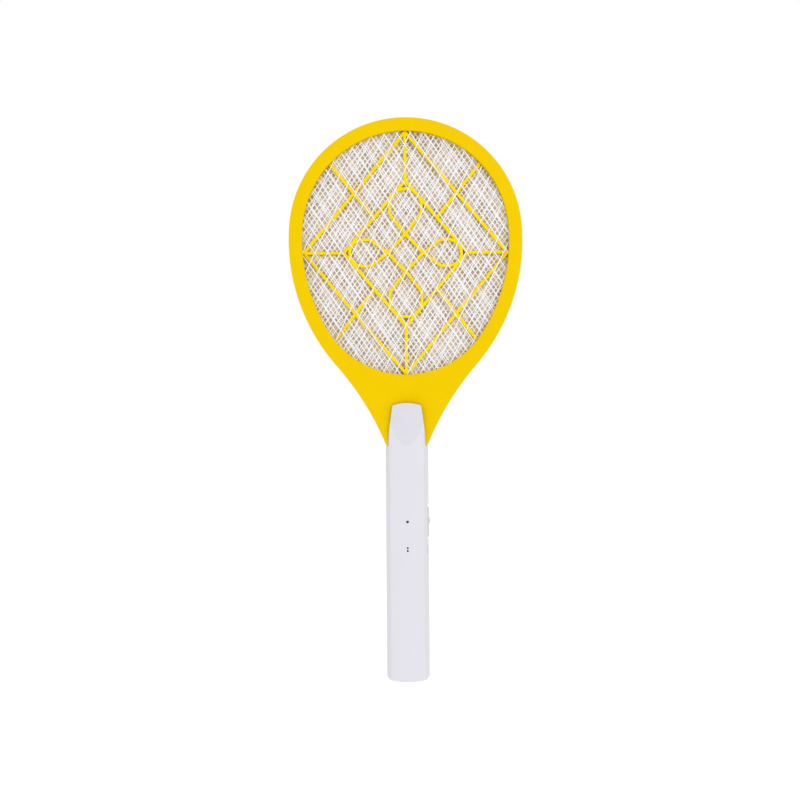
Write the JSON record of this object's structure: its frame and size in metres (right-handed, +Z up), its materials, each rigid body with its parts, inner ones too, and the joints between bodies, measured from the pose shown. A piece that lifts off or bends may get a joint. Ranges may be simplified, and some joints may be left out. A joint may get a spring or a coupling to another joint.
{
  "type": "electric fly swatter",
  "caption": "Hand-held electric fly swatter: a racket-shaped frame holding layered metal mesh on a tapered battery handle with a slide switch and a push button.",
  "frame": {"origin": "centre of the handle's closed lower end, where the hand-held part ends", "axes": "+Z up the handle to the top of the head, -Y out of the front face, +X to the side with the switch and the button"},
  "size_m": [0.1866, 0.026, 0.4496],
  "materials": {
    "yellow_plastic": "moulded, satin gloss",
    "white_plastic": "moulded cool white, satin",
    "control_plastic": "moulded white, satin",
    "outer_mesh_metal": "expanded sheet, bright",
    "centre_mesh_metal": "fine expanded sheet",
    "black_plastic": "moulded",
    "bright_steel": "plated",
    "screw_steel": "blackened",
    "circuit_board": "solder mask",
    "ferrite": "sintered",
    "bobbin_plastic": "moulded",
    "copper_wire": "enamelled winding",
    "red_capacitor": "dipped film",
    "blue_capacitor": "dipped ceramic",
    "resistor_body": "lacquered",
    "amber_light": "tinted lens",
    "status_light": "water-clear lens",
    "cell_wrap": "shrink sleeve",
    "red_insulation": "wire insulation",
    "black_insulation": "wire insulation",
    "foam": "closed-cell foam"
  },
  "bodies": {
    "swatter": {"head_front_frame": "yellow_plastic", "head_rear_frame": "yellow_plastic", "front_spacer_grid": "yellow_plastic", "rear_spacer_grid": "yellow_plastic", "front_mesh": "outer_mesh_metal", "centre_mesh": "centre_mesh_metal", "rear_mesh": "outer_mesh_metal", "mesh_jumper": "outer_mesh_metal", "outer_mesh_lead": "black_insulation", "centre_mesh_lead": "red_insulation", "handle_front_shell": "white_plastic", "handle_rear_shell": "white_plastic", "shell_screws": "screw_steel", "main_board": "circuit_board", "board_screws": "bright_steel", "transformer_core": "ferrite", "transformer_bobbin": "bobbin_plastic", "transformer_winding": "copper_wire", "high_voltage_capacitor": "red_capacitor", "multiplier_capacitors": "blue_capacitor", "rectifier_diodes": "black_plastic", "resistors": "resistor_body", "drive_transistor": "black_plastic", "charge_led": "amber_light", "status_leds": "status_light", "switch_housing": "bright_steel", "button_housing": "black_plastic", "battery_cell": "cell_wrap", "battery_tabs": "bright_steel", "positive_lead": "red_insulation", "negative_lead": "black_insulation", "battery_pad": "foam", "charge_board": "circuit_board", "charge_port": "bright_steel", "charge_port_tongue": "black_plastic", "charge_chip": "black_plastic", "charge_leads": "red_insulation"},
    "switch_slider": {"switch_knob": "control_plastic", "switch_lever": "black_plastic"},
    "push_button": {"button_cap": "control_plastic", "button_plunger": "control_plastic"}
  },
  "joints": [
    {"name": "switch_slide", "type": "slide", "parent": "swatter", "child": "switch_slider", "axis": [0, 0, 1], "range_m": [-0.0025, 0.0025]},
    {"name": "button_press", "type": "slide", "parent": "swatter", "child": "push_button", "axis": [-1, 0, 0], "range_m": [0, 0.0012], "stiffness_N_per_m": 900, "springref_m": -0.0008}
  ]
}
